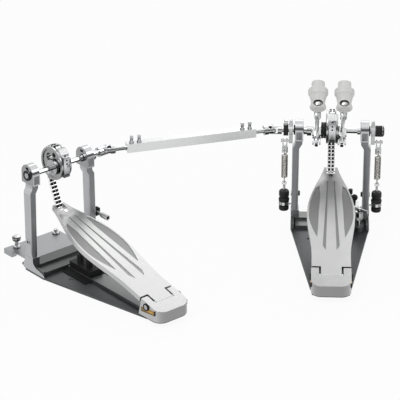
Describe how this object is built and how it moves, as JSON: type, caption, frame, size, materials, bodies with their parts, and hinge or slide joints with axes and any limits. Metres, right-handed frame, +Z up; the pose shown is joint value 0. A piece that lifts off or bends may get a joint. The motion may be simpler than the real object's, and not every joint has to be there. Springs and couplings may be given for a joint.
{
  "type": "double bass drum pedal",
  "caption": "Double bass drum pedal: main and slave footboards, chain cams, two beaters and a jointed drive shaft between them.",
  "frame": {"origin": "On the floor, under the middle of the main pedal's shaft.", "axes": "+X is the drummer's right, along the main pedal's shaft; +Y points to the drum, along the main footboard; +Z is up."},
  "size_m": [0.6814, 0.4672, 0.3181],
  "materials": {
    "chain_steel": "bright",
    "black_plastic": "satin",
    "beater_plastic": "smooth",
    "board_alloy": "satin",
    "base_steel": "satin",
    "cast_alloy": "satin cast",
    "satin_alloy": "satin",
    "cam_alloy": "satin cast",
    "satin_steel": "satin",
    "chrome": "polished"
  },
  "bodies": {
    "main_frame": {"main_base": "base_steel", "main_posts": "cast_alloy", "main_bearing_caps": "chrome", "main_stop_pad": "black_plastic", "main_heel": "satin_alloy", "main_hinge_pin": "chrome", "spring_brackets": "chrome", "hoop_clamp": "base_steel", "clamp_knobs": "black_plastic"},
    "main_shaft_set": {"main_shaft": "chrome", "main_cam": "cam_alloy", "main_chain_wrap": "chain_steel", "right_holder": "cast_alloy", "right_rocker": "satin_steel"},
    "main_board_set": {"main_footboard": "board_alloy", "main_toe_pin": "chrome"},
    "main_run_set": {"main_chain_run": "chain_steel"},
    "main_lower_set": {"main_chain_lower": "chain_steel"},
    "main_upper_set": {"main_chain_upper": "chain_steel"},
    "left_shaft_set": {"left_shaft": "chrome", "left_collar": "black_plastic", "left_holder": "cast_alloy", "left_rocker": "satin_steel", "main_yoke": "chrome"},
    "right_beater_set": {"right_rod": "chrome", "right_head": "beater_plastic"},
    "left_beater_set": {"left_rod": "chrome", "left_head": "beater_plastic"},
    "right_stirrup_set": {"right_stirrup": "satin_steel"},
    "left_stirrup_set": {"left_stirrup": "satin_steel"},
    "right_spring_rod_set": {"right_spring_rod": "black_plastic"},
    "left_spring_rod_set": {"left_spring_rod": "black_plastic"},
    "right_coil_set": {"right_coil": "chrome"},
    "left_coil_set": {"left_coil": "chrome"},
    "clamp_screw_set": {"clamp_screw": "chrome"},
    "tube_set": {"drive_tube": "satin_alloy", "tube_bolts": "chrome", "main_link_rod": "chrome"},
    "main_cross_set": {"main_cross": "satin_steel"},
    "slave_frame": {"slave_base": "base_steel", "slave_posts": "cast_alloy", "slave_bearing_caps": "chrome", "slave_stop_pad": "black_plastic", "slave_heel": "satin_alloy", "slave_hinge_pin": "chrome", "slave_toe_plate": "satin_alloy", "slave_thumbscrews": "chrome", "slave_key_clip": "black_plastic", "drum_key": "chrome"},
    "slave_shaft_set": {"slave_shaft": "chrome", "slave_cam": "cam_alloy", "slave_chain_wrap": "chain_steel", "slave_yoke": "chrome"},
    "slave_board_set": {"slave_footboard": "board_alloy", "slave_toe_pin": "chrome"},
    "slave_run_set": {"slave_chain_run": "chain_steel"},
    "slave_lower_set": {"slave_chain_lower": "chain_steel"},
    "slave_upper_set": {"slave_chain_upper": "chain_steel"},
    "slave_cross_set": {"slave_cross": "satin_steel"},
    "link_rod_set": {"slave_link_rod": "chrome"}
  },
  "joints": [
    {"name": "main_shaft_spin", "type": "hinge", "parent": "main_frame", "child": "main_shaft_set", "pos_m": [0, 0, 0.185], "axis": [-1, 0, 0], "range_deg": [0, 45], "stiffness_Nm_per_rad": 1.6, "springref_deg": -20.05},
    {"name": "main_footboard_hinge", "type": "hinge", "parent": "main_frame", "child": "main_board_set", "pos_m": [0, -0.2857, 0.0316], "axis": [-1, 0, 0], "range_deg": [0, 6.02]},
    {"name": "main_chain_swing", "type": "hinge", "parent": "main_board_set", "child": "main_run_set", "pos_m": [0, 0.00033, 0.10301], "axis": [1, 0, 0], "range_deg": [0, 13.14]},
    {"name": "main_chain_lower_bend", "type": "hinge", "parent": "main_run_set", "child": "main_lower_set", "pos_m": [0, 0.03179, 0.17889], "axis": [-1, 0, 0], "range_deg": [0, 14.88], "deforming": ["main_chain_lower"]},
    {"name": "main_chain_upper_bend", "type": "hinge", "parent": "main_lower_set", "child": "main_upper_set", "pos_m": [0, 0.03391, 0.19232], "axis": [-1, 0, 0], "range_deg": [0, 26.42], "deforming": ["main_chain_upper"]},
    {"name": "slave_shaft_spin", "type": "hinge", "parent": "slave_frame", "child": "slave_shaft_set", "pos_m": [-0.4809, -0.1779, 0.185], "axis": [-0.7314, -0.682, 0], "range_deg": [0, 45], "stiffness_Nm_per_rad": 1.6, "springref_deg": -20.05},
    {"name": "slave_footboard_hinge", "type": "hinge", "parent": "slave_frame", "child": "slave_board_set", "pos_m": [-0.28605, -0.38685, 0.0316], "axis": [-0.7314, -0.682, 0], "range_deg": [0, 6.02]},
    {"name": "slave_chain_swing", "type": "hinge", "parent": "slave_board_set", "child": "slave_run_set", "pos_m": [-0.48113, -0.17766, 0.10301], "axis": [0.7314, 0.682, 0], "range_deg": [0, 13.14]},
    {"name": "slave_chain_lower_bend", "type": "hinge", "parent": "slave_run_set", "child": "slave_lower_set", "pos_m": [-0.50258, -0.15465, 0.17889], "axis": [-0.7314, -0.682, 0], "range_deg": [0, 14.88], "deforming": ["slave_chain_lower"]},
    {"name": "slave_chain_upper_bend", "type": "hinge", "parent": "slave_lower_set", "child": "slave_upper_set", "pos_m": [-0.50402, -0.1531, 0.19232], "axis": [-0.7314, -0.682, 0], "range_deg": [0, 26.42], "deforming": ["slave_chain_upper"]},
    {"name": "left_shaft_spin", "type": "hinge", "parent": "main_frame", "child": "left_shaft_set", "pos_m": [0, 0, 0.185], "axis": [-1, 0, 0], "range_deg": [0, 44.4]},
    {"name": "drive_tube_spin", "type": "hinge", "parent": "main_frame", "child": "tube_set", "pos_m": [-0.108, 0, 0.185], "axis": [-0.9412, -0.3379, 0], "range_deg": [0, 42.66]},
    {"name": "link_rod_spin", "type": "hinge", "parent": "slave_frame", "child": "link_rod_set", "pos_m": [-0.40411, -0.10629, 0.185], "axis": [-0.9412, -0.3379, 0], "range_deg": [0, 42.66]},
    {"name": "slave_cross_turn", "type": "hinge", "parent": "slave_shaft_set", "child": "slave_cross_set", "pos_m": [-0.40411, -0.10629, 0.185], "axis": [0, 0, 1], "range_deg": [0, 6.37]},
    {"name": "main_cross_turn", "type": "hinge", "parent": "left_shaft_set", "child": "main_cross_set", "pos_m": [-0.108, 0, 0.185], "axis": [0, 0, 1], "range_deg": [-5.35, 0]},
    {"name": "link_length", "type": "slide", "parent": "main_frame", "child": "slave_frame", "axis": [-0.9412, -0.3379, 0], "range_m": [-0.006, 0.05]},
    {"name": "right_stirrup_swing", "type": "hinge", "parent": "main_shaft_set", "child": "right_stirrup_set", "pos_m": [0.085, -0.004, 0.165], "axis": [1, 0, 0], "range_deg": [0, 50.68]},
    {"name": "right_spring_tilt", "type": "hinge", "parent": "main_frame", "child": "right_spring_rod_set", "pos_m": [0.085, -0.004, 0.041], "axis": [1, 0, 0], "range_deg": [0, 5.59]},
    {"name": "right_spring_stretch", "type": "slide", "parent": "right_spring_rod_set", "child": "right_coil_set", "axis": [0, 0, 1], "range_m": [0, 0.00934], "deforming": ["right_coil"]},
    {"name": "left_stirrup_swing", "type": "hinge", "parent": "left_shaft_set", "child": "left_stirrup_set", "pos_m": [-0.085, -0.004, 0.165], "axis": [1, 0, 0], "range_deg": [0, 49.91]},
    {"name": "left_spring_tilt", "type": "hinge", "parent": "main_frame", "child": "left_spring_rod_set", "pos_m": [-0.085, -0.004, 0.041], "axis": [1, 0, 0], "range_deg": [0, 5.51]},
    {"name": "left_spring_stretch", "type": "slide", "parent": "left_spring_rod_set", "child": "left_coil_set", "axis": [0, 0, 1], "range_m": [0, 0.00919], "deforming": ["left_coil"]},
    {"name": "right_beater_height", "type": "slide", "parent": "main_shaft_set", "child": "right_beater_set", "axis": [0, -0.7071, 0.7071], "range_m": [-0.03, 0.006]},
    {"name": "left_beater_height", "type": "slide", "parent": "left_shaft_set", "child": "left_beater_set", "axis": [0, -0.7071, 0.7071], "range_m": [-0.03, 0.006]},
    {"name": "clamp_screw_turn", "type": "hinge", "parent": "main_frame", "child": "clamp_screw_set", "pos_m": [0.053, -0.039, 0.04], "axis": [0, 0, 1], "range_deg": [-180, 180]}
  ],
  "couplings": [
    {"joint": "main_footboard_hinge", "follows": "main_shaft_spin", "ratio": 0.13358},
    {"joint": "main_chain_swing", "follows": "main_shaft_spin", "ratio": 0.29135},
    {"joint": "main_chain_lower_bend", "follows": "main_shaft_spin", "ratio": 0.32998},
    {"joint": "main_chain_upper_bend", "follows": "main_shaft_spin", "ratio": 0.58604},
    {"joint": "slave_footboard_hinge", "follows": "slave_shaft_spin", "ratio": 0.13358},
    {"joint": "slave_chain_swing", "follows": "slave_shaft_spin", "ratio": 0.29135},
    {"joint": "slave_chain_lower_bend", "follows": "slave_shaft_spin", "ratio": 0.32998},
    {"joint": "slave_chain_upper_bend", "follows": "slave_shaft_spin", "ratio": 0.58604},
    {"joint": "left_shaft_spin", "follows": "slave_shaft_spin", "ratio": 0.98464},
    {"joint": "drive_tube_spin", "follows": "slave_shaft_spin", "ratio": 0.94613},
    {"joint": "link_rod_spin", "follows": "slave_shaft_spin", "ratio": 0.94613},
    {"joint": "slave_cross_turn", "follows": "slave_shaft_spin", "ratio": 0.14116},
    {"joint": "main_cross_turn", "follows": "slave_shaft_spin", "ratio": -0.11867},
    {"joint": "right_stirrup_swing", "follows": "main_shaft_spin", "ratio": 1.1241},
    {"joint": "right_spring_tilt", "follows": "main_shaft_spin", "ratio": 0.12407},
    {"joint": "right_spring_stretch", "follows": "main_shaft_spin", "m_per_rad": 0.011865},
    {"joint": "left_stirrup_swing", "follows": "slave_shaft_spin", "ratio": 1.1068},
    {"joint": "left_spring_tilt", "follows": "slave_shaft_spin", "ratio": 0.12216},
    {"joint": "left_spring_stretch", "follows": "slave_shaft_spin", "m_per_rad": 0.011683}
  ]
}
